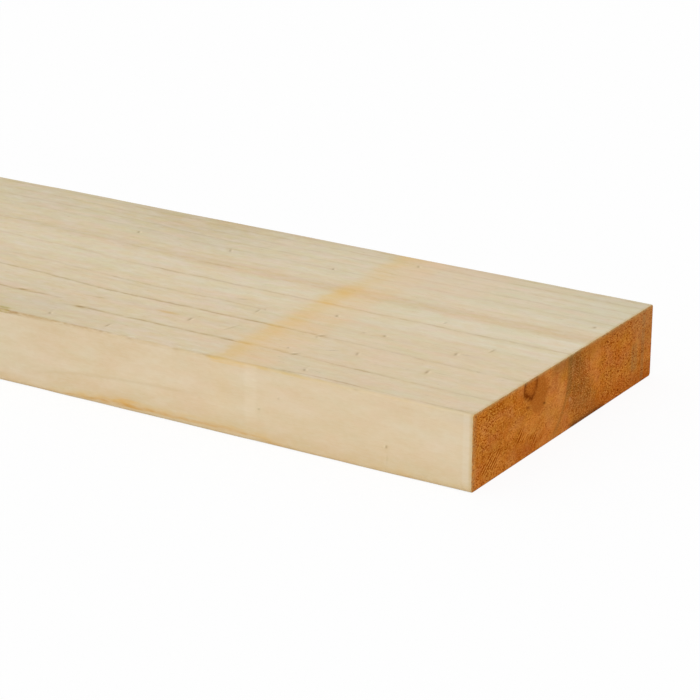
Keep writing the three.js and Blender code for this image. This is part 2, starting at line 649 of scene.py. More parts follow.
# (mm on from the stacking strip's edge, share) and (mm over from the near edge, strength)
STAIN_FADE = (
    (-4, 0.0), (0, 0.42), (3, 0.88), (6, 1.0), (9, 0.88), (13, 0.50), (18, 0.26), (28, 0.12),
    (45, 0.04), (80, 0.0),
)
STAIN_STRENGTH = (
    (0, 0.42), (12, 0.41), (60, 0.41), (86, 0.34), (96, 0.43), (118, 0.58), (126, 0.40),
    (137, 0.24), (165, 0.30), (184, 0.42),
)
# (mm from the end, height) and (mm from the end, strength) of the sap along the near edge
SAP_HEIGHT = (
    (-260, 0.5), (-232, 1.1), (-217, 1.8), (-204, 2.5), (-165, 2.8), (-135, 3.1), (-124, 2.9),
    (-112, 1.8), (-100, 1.3), (0, 1.0),
)
SAP_STRENGTH = (
    (-262, 0.1), (-236, 0.35), (-222, 0.75), (-210, 0.85), (-198, 1.15), (-176, 0.9), (-160, 0.65),
    (-138, 0.55), (-116, 0.72), (-105, 0.5), (-94, 0.22), (-60, 0.12), (-46, 0.15), (-37, 0.4),
    (-28, 0.12), (0, 0.12),
)
# (mm from the end, strength) of the sap that ran over the near top arris
SPILL_STRENGTH = (
    (-146, 0.0), (-139, 0.5), (-131, 0.42), (-124, 0.30), (-112, 0.32), (-98, 0.30), (-86, 0.24),
    (-74, 0.12), (-20, 0.10), (0, 0.0),
)
# (mm from the end, height) of the dull streak on the near edge
STREAK_HEIGHT = ((-250, 8.0), (-205, 14.7), (-155, 17.0), (-120, 18.0))
# the near top arris's thin dark line, dirt and painted shade where the easing starts: its place and
# darkness
ARRIS_LINE_OVER = (
    (-275, 0.3), (-255, 0.5), (-210, 0.8), (-150, 0.8), (-100, 2.6), (-82, 4.1), (-60, 3.3),
    (-40, 2.5), (0, 2.0),
)
ARRIS_LINE_STRENGTH = (
    (-280, 1.0), (-264, 1.4), (-254, 0.9), (-238, 0.8), (-208, 0.8), (-198, 0.3), (-155, 0.3),
    (-147, 0.6), (-138, 0.2), (-112, 0.2), (-98, 0.45), (-90, 0.35), (-80, 0.6), (-62, 0.45),
    (-45, 0.25), (-20, 0.45), (0, 0.5),
)
# (mm from the end, spread, mm over, spread, strength) of smudges and of resin drawn out long
SMUDGES = ((-102, 6, 2.6, 1.4, 1.0), (-72, 12, 3.6, 1.2, 1.0), (-6, 7, 3.0, 1.5, 1.0))
LONG_BEADS = ((-237.8, 2.1, 24.2, 1.0, 1.0), (-278.0, 2.6, 30.2, 1.0, 1.0))


def season_lines(log):
    """How dark the thin line at each season's end is, and the yellower growth just inside it."""
    lines = log.zero
    later = log.zero
    crooked = log.radius + (log.grain(9, 20, 20, 44, 1.0) - 0.5) * 1.3
    swung = crooked - log.along.ramp(-290, -255, 4.6, 0.0) - log.along.ramp(-258, -236, 3.0, 0.0)
    for radius, width, darkness, side, start, end in SEASON_LINES:
        off = (swung if side == OUTER_NEAR else crooked) - radius
        this_side = log.far_side if side == FAR_SIDE else 1.0 - log.far_side
        if start > FURTHEST or end < 0:
            this_side = this_side * window(log.along, start, end, 6.0)
        lines = lines + off.bell(0.0, width) * this_side * darkness
        inside = off.ramp(-3.2, -0.6) * off.ramp(0.0, 0.8, 1.0, 0.0)
        later = later + inside * this_side * (darkness * 0.5)
    breaks = log.grain(8, 3, 3, 0, 3.0, 0.65).ramp(0.32, 0.64, 0.28, 1.52)
    patchy = log.grain(18, 2.5, 2.5, 8).ramp(0.35, 0.65, 0.2, 1.4)
    plainer = 1.0 - log.edges * 0.8
    return lines * breaks * plainer, later * patchy * plainer


def from_strip(log):
    """How far the point is from the ragged edge of the strip that lay across while it dried."""
    waves = (log.grain(60, 14, 14, 0, 1.0) - 0.5) * 9.0
    ripples = (log.grain(20, 4, 4) - 0.5) * 2.5
    return log.along + log.over * STRIP_SLANT + waves + ripples - STRIP_EDGE


def ring_tones(log):
    """Pale wide rings, whose tone follows the distance from the pith."""
    along, radius = log.along, log.radius
    colour = tinted(graded(radius, NEAR_SIDE_RINGS), graded(radius, FAR_SIDE_RINGS), log.far_side)
    faded = window(radius, 52, 68, 4) * log.far_side * along.ramp(-290, -210, 0.35, 0.0)
    colour = tinted(colour, srgb(*OUTER_RING), faded)
    wider_tan = window(radius, 65, 70, 2) * log.far_side * along.ramp(-190, -160, 0.15, 0.0)
    colour = tinted(colour, srgb(*TAN_RING), wider_tan)
    near_tan = log.sideways.bell(-20, 4.0) * window(along, -240, -150, 20)
    colour = tinted(colour, srgb(*TAN_RING), near_tan * 0.55)
    near_pale = log.sideways.bell(-12.5, 3.5) * along.ramp(-170, -150, 0.7, 0.0)
    colour = tinted(colour, srgb(*PALE_RING), near_pale)
    # The edges darken towards the floor as painted shade.
    return tinted(colour, graded(log.up, EDGE_TONES), log.edges)


def weathered(log, colour):
    """Duller further along and towards both edges, and whiter rings by the marked end."""
    along, over, up = log.along, log.over, log.up
    by_edges = over.ramp(8, 60, 0.70, 0.1) + over.ramp(112, 170, 0.0, 1.1)
    dulled = course(along, DULLED) * by_edges
    colour = tinted(colour, OLD_WOOD_AND_SHADE, dulled * (1.0 - log.edges * 0.6))
    older = window(along, -300, -250, 30) * log.broad
    colour = tinted(colour, TAN, older * over.ramp(148, 160, 0.0, 0.14))
    colour = tinted(colour, MOSS, older * over.bell(179, 3.5) * 0.4)
    greyer = along.ramp(-55, -20) * over.ramp(120, 140) * log.broad
    colour = tinted(colour, GREY_GREEN, greyer * 0.18)
    bleached = along.ramp(-250, -215, 1.0, 0.0) * window(up, 7, 18, 3) * log.near_edge
    colour = tinted(colour, WHITISH, bleached * 0.12)
    pale_rings = window(log.radius, 25, 33, 1.5) * 0.6 + window(log.radius, 42, 52, 1.5)
    pale_rings = pale_rings + window(log.radius, 73, 79, 2) * 0.6
    return tinted(colour, WHITISH, pale_rings * log.far_side * along.ramp(-120, -60) * 0.20)


def clouded(log, colour):
    """Long soft bands that follow the rings, broad patches, greenish or pink, and small clouds."""
    along = log.along
    long_bands = noise(along / 110, log.radius / 2.6, log.far_side * 5, 1.0)
    colour = mottled(colour, long_bands, TAN, WHITISH, 0.05)
    colour = mottled(colour, log.grain(28, 7, 9), GREENISH, PINKISH, 0.30 - log.edges * 0.12)
    colour = mottled(colour, log.grain(7, 3, 3, 50, 1.0), GREENISH, PINKISH, 0.12 - log.edges * 0.05)
    clouds = along.ramp(-180, -120, 0.04, 0.0) - log.edges * 0.05 + 0.13
    colour = mottled(colour, log.grain(11, 4, 4.5, 20), TAN, WHITISH, clouds)
    colour = mottled(colour, log.grain(32, 9, 9, 70, 1.0), TAN, WHITISH, log.edges * 0.14)
    blotches = along.ramp(-190, -130, 0.24, 0.16) * log.broad
    colour = mottled(colour, log.grain(10, 5, 5, 110, 1.0), STRAW, ROSE, blotches)
    streaks = log.grain(4, 1.6, 1.6, 0, 2.0, 0.6)
    return mottled(colour, streaks, DULL, BRIGHT, 0.10 - log.edges * 0.02)


def strip_stained(log, colour):
    """The stain of the stacking strip: ochre beside its edge, then peach and pink."""
    along, over = log.along, log.over
    strip = from_strip(log)
    soaked = log.grain(16, 8, 8).ramp(0.3, 0.7, 0.82, 1.15)
    on_lines = log.radius.bell(37.9, 1.2) + log.radius.bell(10.2, 1.2)
    on_lines = on_lines * strip.ramp(6, 14, 1.0, 0.2)
    strength = course(over, STAIN_STRENGTH) * (1.0 + on_lines * 0.5) * (1.0 - log.edges * 0.85)
    colour = tinted(colour, STAIN, course(strip, STAIN_FADE) * strength * soaked)
    beside = window(strip, 13, 26, 10) * soaked * log.broad
    colour = tinted(colour, PEACH, beside * 0.18)
    blush = window(along, -122, -84, 14) * over.ramp(128, 150) * log.broad
    return tinted(colour, PINKISH, blush * 0.22)


def sap_soaked(log, colour, uneven):
    """Sap low on the near edge and on its upper arris beside the strip, painted shade by the marked
    end's top corners, and a duller streak.
    """
    along, over, up = log.along, log.over, log.up
    height = course(along, SAP_HEIGHT) + (log.grain(13, 1, 1, 61) - 0.5) * 1.6
    strength = course(along, SAP_STRENGTH) * uneven * log.near_edge
    colour = tinted(colour, THIN_SAP, (up - height).bell(1.0, 1.8) * strength * 0.42)
    colour = tinted(colour, AMBER, (up - height).bell(0.0, 0.8) * strength * 0.66)
    swollen = along.bell(-192, 6.0) * up.bell(4.4, 1.5) * log.near_edge
    colour = tinted(colour, THICK_SAP, swollen * uneven * 0.5)
    spill = course(along, SPILL_STRENGTH) * up.ramp(36.6, 37.6) * over.ramp(0.6, 2.8, 1.0, 0.0)
    colour = tinted(colour, SPILT_SAP, spill * uneven)
    run_down = up.ramp(35.4, 36.2, 0.0, 0.22) + up.ramp(36.6, 37.6, 0.0, 0.16)
    run_down = run_down * window(along, -141, -123, 5) * log.near_edge
    colour = tinted(colour, FRESH_SAP, run_down * uneven)
    # Painted shade: the top of each edge darker at the marked end.
    shaded_corner = along.ramp(-18, -4) * up.ramp(30, 35) * log.edges
    colour = tinted(colour, OLD_WOOD_AND_SHADE, shaded_corner * 0.22)
    dull_streak = up.bell(course(along, STREAK_HEIGHT), 0.9) * window(along, -235, -165, 22)
    colour = tinted(colour, DULL_STREAK, dull_streak * log.near_edge * 0.22)
    print_of_strip = window(along, -121.5, -118.0, 3.0) * up.ramp(0, 22) * log.near_edge * uneven
    return tinted(colour, STRIP_PRINT, print_of_strip * 0.15)


def handled(log, colour, uneven):
    """Dirt, wear and painted shade on the arrises, painted highlights on scuffs, and a knot's green
    stain under the surface.
    """
    along, over, up = log.along, log.over, log.up
    # Dirt, and painted shade where the near top arris's easing starts, as one thin dark line.
    arris_line = over.bell(course(along, ARRIS_LINE_OVER), 0.6) * course(along, ARRIS_LINE_STRENGTH) * up.ramp(36, 37)
    uneven_darkening = log.grain(4, 1, 1, 0, 3.0).ramp(0.3, 0.6, 0.3, 1.2)
    colour = tinted(colour, GRIME_AND_SHADE, arris_line * uneven_darkening * 0.55)
    colour = tinted(colour, GRIME_AND_SHADE, spots(along, over, SMUDGES) * log.broad * uneven_darkening * 0.15)
    colour = tinted(colour, SMEAR, along.bell(-196, 6) * over.bell(41.0, 1.5) * log.broad * 0.60)
    colour = tinted(colour, COOL_WOOD, along.bell(-256, 15) * over.bell(17, 7) * log.broad * 0.25)
    # Painted shade darkens all four eased arrises, and one rubbed place on the near top arris.
    rubbed = along.bell(-178, 12) * over.ramp(0.6, 1.6, 1.0, 0.0) * up.ramp(35.8, 37.4)
    colour = tinted(colour, RUBBED_AND_SHADED, log.arris * 0.18 + rubbed * 0.25)
    knot = window(along, -278, -266, 4) * over.bell(1.6, 2.6) * up.ramp(36.0, 37.2)
    colour = tinted(colour, KNOT_GREEN, knot * uneven * 0.72)
    # Painted highlights where the near top arris is scuffed.
    scuff_highlights = window(along, -198, -152, 10) * over.bell(2.4, 1.3) * up.ramp(37.0, 37.9)
    scuff_highlights = scuff_highlights * log.grain(5, 1.5, 1, 71).ramp(0.45, 0.65)
    colour = tinted(colour, BRIGHT, scuff_highlights * 0.4)
    paler = window(along, -4.4, -2.4, 1.0) * up.ramp(2, 6) * log.near_edge
    colour = tinted(colour, WHITISH, paler * 0.14)
    by_saw = along.ramp(-2.0, 0.0) * log.grain(3, 4, 4, 33).ramp(0.3, 0.6, 0.6, 1.1)
    return tinted(colour, SCORCHED, by_saw * 0.48)


def marked(log, colour):
    """The marks' own dirt with painted shade in their hollows, a painted highlight along one side of
    each, and the bruised wood round it.
    """
    mark_tints = wired(log.tree, "ShaderNodeAttribute", output=1, attribute_name="mill_mark")
    dirt_and_shade, painted_highlight, bruise = parted(mark_tints)
    colour = tinted(colour, BRUISED, bruise * 0.20)
    colour = tinted(colour, RESIN, spots(log.along, log.over, LONG_BEADS) * log.broad * 0.55)
    # Each mark's dirt, with painted shade darkening its hollow.
    colour = tinted(colour, MARK_DIRT_AND_SHADE, dirt_and_shade * 0.52)
    # Painted highlight: a pale strip along one side of each mark.
    return tinted(colour, MARK_HIGHLIGHT, painted_highlight * 0.42)


def bare_material(name):
    """A new material, its node tree and its shader."""
    material = bpy.data.materials.new(name)
    material.use_nodes = True
    tree = material.node_tree
    return material, tree, tree.nodes["Principled BSDF"]


def raised(tree, height, strength, distance):
    """Lets the light catch a relief that is too fine for the mesh."""
    bump = tree.nodes.new("ShaderNodeBump")
    bump.inputs["Strength"].default_value = strength
    bump.inputs["Distance"].default_value = distance
    plug(tree, height, bump.inputs["Height"])
    tree.links.new(bump.outputs[0], tree.nodes["Principled BSDF"].inputs["Normal"])


def planed_softwood():
    material, tree, finish = bare_material("planed_softwood")
    log = Log(tree)
    colour = clouded(log, weathered(log, ring_tones(log)))
    lines, later = season_lines(log)
    colour = tinted(colour, LATER_GROWTH, later)
    colour = tinted(colour, LATEWOOD, lines)
    colour = tinted(colour, OLD_LINE, lines * log.along.ramp(-260, -200, 0.18, 0.0))
    colour = strip_stained(log, colour)
    uneven_sap = log.grain(9, 3, 1.6, 0, 3.0).ramp(0.3, 0.7, 0.35, 1.5)
    colour = sap_soaked(log, colour, uneven_sap)
    colour = handled(log, colour, uneven_sap)

    # Fine fibres drawn out along the grain, and short dark flecks of torn grain between them.
    fibres = log.grain(6, 0.6, 0.6, 0, 3.0, 0.6)
    pores = log.grain(2.4, 0.35, 0.35)
    flecks = log.grain(4.5, 0.8, 0.8, 9, 1.0)
    colour = mottled(colour, fibres, BRIGHT, DULL, 0.08)
    colour = tinted(colour, PORE_BROWN, pores.ramp(0.64, 0.80, 0.0, 0.20))
    colour = tinted(colour, FLECK_BROWN, flecks.ramp(0.70, 0.80, 0.0, 0.25) * log.broad)
    plug(tree, marked(log, colour), finish.inputs["Base Color"])

    plug(tree, fibres.ramp(0.3, 0.7, 0.62, 0.72) - lines * 0.2, finish.inputs["Roughness"])
    finish.inputs["Specular IOR Level"].default_value = 0.25
    raised(tree, fibres * 0.6 + pores * 0.3 - lines * 0.6, 0.4, 0.04 * MM)
    return material


# ---------------------------------------------------------------------------------------------
# The sawn ends. The docking saw leaves end grain: open pores that take up sap and weather to a
# deep orange, an olive band of wetter wood, the pith and the saw's own curved scratches.

SAW_CENTRE = (-122.0, 187.0)  # mm over and up of the middle of the saw's arcs
SAW_PITCH = 2.0
ORANGE_WOOD = (187, 112, 36)
HEART_WOOD = (187, 113, 39)
PEACH_WOOD = (195, 125, 62)
BROWNER_WOOD = (182, 113, 44)
REDDER_WOOD = (186, 111, 40)
OUTER_WOOD = (178, 110, 44)
# (mm over from the near edge, colour) of the body of the wood
END_TONES = (
    (0, ORANGE_WOOD), (44, ORANGE_WOOD), (60, HEART_WOOD), (82, PEACH_WOOD), (97, BROWNER_WOOD),
    (124, REDDER_WOOD), (148, REDDER_WOOD), (162, OUTER_WOOD), (184, OUTER_WOOD),
)
PLAIN_WOOD = srgb(164, 93, 31)
RED_WOOD = srgb(158, 76, 12)
OLIVE_WOOD = srgb(136, 84, 30)
PORE = srgb(145, 68, 0)
DEEP_PORE = srgb(122, 50, 0)
GLINT = srgb(223, 151, 73)
RUSSET = srgb(186, 94, 34)
MOSSY = srgb(172, 118, 42)
SALLOW = srgb(180, 108, 14)
DUSKY = srgb(176, 106, 62)
DRY_WOOD = srgb(166, 116, 60)
PALE_WOOD = srgb(172, 120, 74)
GREEN_WOOD = srgb(124, 88, 38)
RING_WOOD = srgb(120, 82, 36)
WORN_WOOD = srgb(140, 108, 66)
OLIVE_GLINT = srgb(190, 134, 84)
OLIVE_PORE = srgb(96, 54, 12)
PITH_WOOD = srgb(164, 88, 26)
PITH_RIM = srgb(112, 50, 6)
PITH_STAIN = srgb(120, 56, 6)
PITH_GLINT = srgb(178, 104, 40)
PITH_PORE = srgb(104, 44, 4)
LOW_RIM = srgb(84, 40, 18)
TOP_RIM = srgb(122, 84, 40)
FRAYED = srgb(180, 152, 100)
PITH_MIDDLE, PITH_REACH = (54.9, 35.2), (6.2, 6.7)  # mm over and up, of the dark tongue
PLAIN_MIDDLE, PLAIN_REACH = (63.2, 28), (8.6, 9.5)  # and of the plain wood beside it
# (mm over, spread, mm up, spread, strength) of lighter, darker, crowded and scratched patches
LIGHT_SPOTS = (
    (75, 10, 13, 8, 0.2), (40, 5, 19, 4, 0.3), (20, 10, 6, 6, 0.32), (39, 4, 4, 3, 0.3),
    (86, 5, 19, 7, 0.2),
)
DARK_SPOTS = (
    (26, 5, 20, 4, 0.3), (26, 5, 35, 3, 0.35), (122, 5, 5, 4, 0.25), (122, 5, 35, 3, 0.25),
    (74, 5, 29, 3, 0.15),
)
CROWDED_SPOTS = ((10, 14, 29, 8, 0.5), (110.5, 5, 26, 10, 0.4))
SCRATCHED_SPOTS = ((18, 12, 9, 7, 1.0), (47, 6, 12, 4, 1.3), (61, 6, 7, 4, 1.2))
# (colour, and the same five) of small spots in the olive band
OLIVE_SPOTS = (
    ((116, 60, 12), 101.8, 2.4, 31, 5.0, 0.5),
    ((198, 146, 94), 97.8, 1.4, 31, 3.0, 0.3),
    ((198, 146, 104), 95.5, 1.2, 15.2, 1.0, 0.5),
)
# (colour, slope, and the same five) of the specks near the pith
PITH_SPECKS = (
    ((124, 58, 10), 0.2, 52.8, 2.2, 35.2, 0.9, 0.8),
    ((100, 52, 8), 0.2, 68.9, 1.2, 35.7, 0.6, 0.9),
    ((130, 74, 20), 0.0, 73.6, 1.6, 28.3, 0.6, 0.4),
)
# (mm up, strength) of the olive band
OLIVE_STRENGTH = ((0, 0.75), (5, 0.6), (12, 0.72), (26, 0.95), (38, 0.95))
# (mm below the top, strength) and (mm over, strength) of the pale torn fibres
PALE_BELOW_TOP = ((0, 0.60), (0.5, 0.42), (1.0, 0.22), (2.0, 0.0))
PALE_BY_NEAR = ((0, 0.50), (1.2, 0.32), (2.6, 0.18), (5.0, 0.0))
# how open the pores are, by mm over from the near edge
OPENNESS = (
    (0, 1.0), (26, 0.9), (42, 0.65), (62, 0.45), (90, 0.45), (100, 0.75), (114, 0.8), (120, 0.35),
    (126, 0.5), (132, 1.1), (156, 1.0), (168, 0.7), (184, 0.6),
)


def saw_arcs(over, up):
    """Fine ridges in long arcs, from 0 to 1, as the docking blade leaves them."""
    sideways = over - SAW_CENTRE[0]
    upwards = up - SAW_CENTRE[1]
    swing = (sideways * sideways + upwards * upwards).root()
    uneven = noise(swing / 3.0, over / 16, up / 16, 2.0) * 9.0
    return (swing * (2 * math.pi / SAW_PITCH) + uneven).wave() * 0.5 + 0.5


class EndFace:
    """Where a point of a sawn end lies, in millimetres over and up as on the marked end."""

    def __init__(self, log):
        # Patches keep their places round the pith, so the other end has them where its pith is.
        self.log = log
        self.over = log.sideways + PITH_OVER
        self.up = log.up - log.pith_up + PITH_UP
        self.drop = THICK - self.up
        self.ragged = (self.speckle(5, 5, 4, 3.0, 0.6) - 0.5) * 9.0
        self.torn = self.speckle(1.1, 0.7, 7, 2.0, 0.6)

    def speckle(self, across, upright, seed, detail=2.0, roughness=0.5):
        """Noise whose patches are so many mm across and upright."""
        return noise(self.over / across, self.up / upright, self.log.zero + seed, detail, roughness)

    def away(self, centre, reach):
        """Distance from a point, as a share of the reach across and upright."""
        aside = (self.over - centre[0]) / reach[0]
        below = (self.up - centre[1]) / reach[1]
        return (aside * aside + below * below).root()


def soaked_wood(end):
    """Sap has soaked in unevenly, and the rings show as soft darker and lighter bands."""
    colour = graded(end.over + end.ragged, END_TONES)
    rings = noise(end.log.radius / 2.6, end.over / 16, end.up / 16, 2.0)
    colour = mottled(colour, end.speckle(6.5, 5, 15), PORE, GLINT, 0.24, 0.16)
    colour = mottled(colour, rings, PORE, GLINT, 0.24, 0.16)
    colour = mottled(colour, end.speckle(13, 9, 80), RUSSET, MOSSY, 0.40, 0.16)
    return mottled(colour, end.speckle(11, 8, 110), SALLOW, DUSKY, 0.34, 0.16)


def patched(end, colour, plain):
    """Plainer brown wood beside the pith, redder wood low down on the far side."""
    over, up = end.over, end.up
    half_ragged = end.ragged * 0.5
    colour = tinted(colour, PLAIN_WOOD, plain)
    low_light = window(over + half_ragged, 52, 60, 4) * window(up, 12, 17, 3)
    far_light = window(over + half_ragged, 117, 125, 3) * up.ramp(12, 22)
    lights = low_light * 0.25 + far_light * 0.2 + spots(over, up, LIGHT_SPOTS)
    colour = tinted(colour, GLINT, lights)
    colour = tinted(colour, PORE, spots(over, up, DARK_SPOTS))
    colour = tinted(colour, DRY_WOOD, over.bell(110, 6) * up.bell(10, 5) * 0.3)
    colour = tinted(colour, RED_WOOD, over.ramp(114, 128) * (up + half_ragged).ramp(2, 11, 0.6, 0.0))
    colour = tinted(colour, PALE_WOOD, over.ramp(156, 170) * (up + half_ragged).ramp(16, 33) * 0.52)
    red_below = window(over + end.ragged, 42, 60, 5) * up.ramp(4, 12, 0.35, 0.0)
    return tinted(colour, RED_WOOD, red_below)


def olive_band(end):
    """The band of wet wood begins at a ring and leans away from the pith lower down."""
    begins = (end.log.radius + end.ragged * 0.3).ramp(34.4, 38.0)
    inner = begins * (end.over - end.drop * 0.30 - 88.0 + end.ragged * 1.2).ramp(-3, 4)
    outer = (end.drop * 0.58 + 104.0 - end.over + end.ragged * 1.5).ramp(-5.0, 4.0)
    return inner * outer * course(end.up, OLIVE_STRENGTH)


def banded(end, colour, olive):
    """The olive band, the dark ring that it starts from and the worn stripes far over."""
    over, up = end.over, end.up
    columns = end.speckle(2.2, 7, 40).ramp(0.35, 0.62, 1.0, 0.5)
    colour = tinted(colour, OLIVE_WOOD, olive * columns)
    greener = window(over + end.drop * 0.08, 93.2, 96.8, 1.0) * up.ramp(14, 20)
    colour = tinted(colour, GREEN_WOOD, greener * 0.45)
    for tone, *spot in OLIVE_SPOTS:
        colour = tinted(colour, srgb(*tone), spots(over, up, (spot,)))
    ring = end.log.radius.bell(36.4, 1.6) * over.ramp(74, 84) * up.ramp(10, 30, 0.5, 0.25)
    colour = tinted(colour, RING_WOOD, ring)
    worn = over + end.ragged * 0.15
    stripes = window(worn, 172.5, 175.0, 1.0) + window(worn, 162, 167, 1.5) * window(up, 10, 21, 3)
    return tinted(colour, WORN_WOOD, stripes * 0.4)


def pored(end, colour, plain, olive, dots):
    """Open pores as dark dots, crowded in some patches, and torn fibres light and dark."""
    crowded = end.speckle(7, 5, 30, 1.0).ramp(0.36, 0.62, 0.5, 1.25)
    crowded = crowded + spots(end.over, end.up, CROWDED_SPOTS)
    openness = course(end.over, OPENNESS) * crowded * (1.0 - plain * 0.75)
    colour = mottled(colour, end.torn, GLINT, PORE, openness * 0.44 + 0.20, 0.18)
    colour = tinted(colour, PORE, dots.ramp(0.55, 0.66) * openness)
    deep_dots = end.speckle(2.0, 1.4, 63, 1.0).ramp(0.60, 0.69)
    deep_share = openness * 0.45 + end.over.ramp(112, 130) * 0.3 + 0.05
    colour = tinted(colour, DEEP_PORE, deep_dots * deep_share)
    return mottled(colour, end.torn, OLIVE_GLINT, OLIVE_PORE, olive * 0.45, 0.18)


def with_pith(end, colour):
    """The pith, a dark rimmed tongue open at the top, with a dark patch below and two specks."""
    over, up = end.over, end.up
    from_pith = end.away(PITH_MIDDLE, PITH_REACH) + end.ragged * 0.05
    colour = tinted(colour, PITH_WOOD, from_pith.ramp(0.7, 1.1, 0.6, 0.0))
    rim = from_pith.bell(0.95, 0.22) * end.speckle(2.5, 2.5, 22).ramp(0.35, 0.6, 0.5, 1.1)
    colour = tinted(colour, PITH_RIM, rim * over.ramp(53, 60, 1.0, 0.7))
    colour = tinted(colour, PITH_STAIN, over.bell(49.3, 1.6) * up.bell(31.8, 1.6) * 0.6)
    inside = from_pith.ramp(0.8, 1.2, 0.4, 0.0)
    colour = mottled(colour, end.torn, PITH_GLINT, PITH_PORE, inside, 0.16)
    for tone, lean, *spot in PITH_SPECKS:
        colour = tinted(colour, srgb(*tone), spots(over, up + over * lean, (spot,)))
    return colour


def scratched(end, colour, arcs):
    """The saw's scratches, deepest low down at the near side."""
    log = end.log
    reach = spots(log.over, log.up, SCRATCHED_SPOTS) + 0.12
    reach = reach * noise(log.over / 5, log.up / 5, log.zero + 60, 2.0).ramp(0.38, 0.58, 0.25, 1.0)
    colour = tinted(colour, GLINT, (arcs * reach).ramp(0.35, 1.0, 0.0, 0.35))
    return tinted(colour, PORE, ((1.0 - arcs) * reach).ramp(0.25, 0.8, 0.0, 0.95))


def rimmed(end, colour):
    """Darker wood along the lower and upper edges, and pale torn fibres round the outline."""
    log = end.log
    across = end.over + end.ragged
    low_rim = log.up.ramp(0.8, 3.2, 1.0, 0.0) * window(across, 100, 128, 8)
    colour = tinted(colour, LOW_RIM, low_rim * 0.6)
    top_rim = (log.up + end.ragged * 0.3).ramp(28.0, 37.5)
    top_rim = top_rim * (window(across, 80, 94, 8) * 0.45 + window(across, 100, 150, 12) * 0.25)
    colour = tinted(colour, TOP_RIM, top_rim)
    frayed = noise(log.over / 3, log.up / 1.2, log.zero + 90, 2.0).ramp(0.35, 0.6, 0.6, 1.2)
    pale_rim = course(THICK - log.up, PALE_BELOW_TOP).most(course(log.over, PALE_BY_NEAR))
    return tinted(colour, FRAYED, pale_rim * frayed)


def end_grain():
    material, tree, finish = bare_material("sawn_end_grain")
    end = EndFace(Log(tree))
    plain = (end.away(PLAIN_MIDDLE, PLAIN_REACH) + end.ragged * 0.02).ramp(0.8, 1.1, 0.9, 0.0)
    olive = olive_band(end)
    dots = end.speckle(1.5, 0.95, 51, 1.0)
    arcs = saw_arcs(end.log.over, end.log.up)
    colour = patched(end, soaked_wood(end), plain)
    colour = banded(end, colour, olive)
    colour = pored(end, colour, plain, olive, dots)
    colour = scratched(end, with_pith(end, colour), arcs)
    plug(tree, rimmed(end, colour), finish.inputs["Base Color"])
    plug(tree, end.torn.ramp(0.3, 0.7, 0.86, 0.74), finish.inputs["Roughness"])
    finish.inputs["Specular IOR Level"].default_value = 0.0
    raised(tree, arcs * 0.4 - dots.ramp(0.54, 0.7) * 0.6 + end.torn * 0.4, 0.5, 0.15 * MM)
    return material


# ---------------------------------------------------------------------------------------------
# The finished skin. The marks are pressed into the planed faces and the saw's arcs cut into the
# ends, every point only moving inwards. Each long face keeps its own strip of the surface map.

SAW_DEPTH = 0.10 * MM
# heights of the map's strips, from the bottom: both ends, the near and far edges, under, top
STRIP_GAP = 0.008
END_STRIP, NEAR_STRIP, FAR_STRIP, UNDER_STRIP, TOP_STRIP = 0.13, 0.12, 0.10, 0.25, 0.352
ARRIS_PART = 0.05  # the part of a strip's height that each eased arris takes up
BESIDE_PART = 0.01  # and each narrow step beside it
# (start, width) in the map of the marked end and of the other one, side by side
SEEN_END_SPAN, OTHER_END_SPAN = (0.01, 0.60), (0.63, 0.36)
MAP_MARGIN = 0.003  # left free on both sides of the long strips
# widths in the map of the stretches along the plank, from the other end's easing on
LONG_MAP = (0.004, 0.002, 0.484, 0.498, 0.002, 0.004)


def mark_points():
    """The marks as loose points, that carry each mark's shape."""
    mesh = bpy.data.meshes.new("mill_marks")
    mesh.from_pydata([place for place, *shape in marks], [], [])
    for number, name in enumerate(("heading", "reach", "width", "press", "stain")):
        values = mesh.attributes.new(name, "FLOAT", "POINT")
        values.data.foreach_set("value", [shape[number] for place, *shape in marks])
    carrier = bpy.data.objects.new("mill_marks", mesh)
    bpy.context.scene.collection.objects.link(carrier)
    return carrier


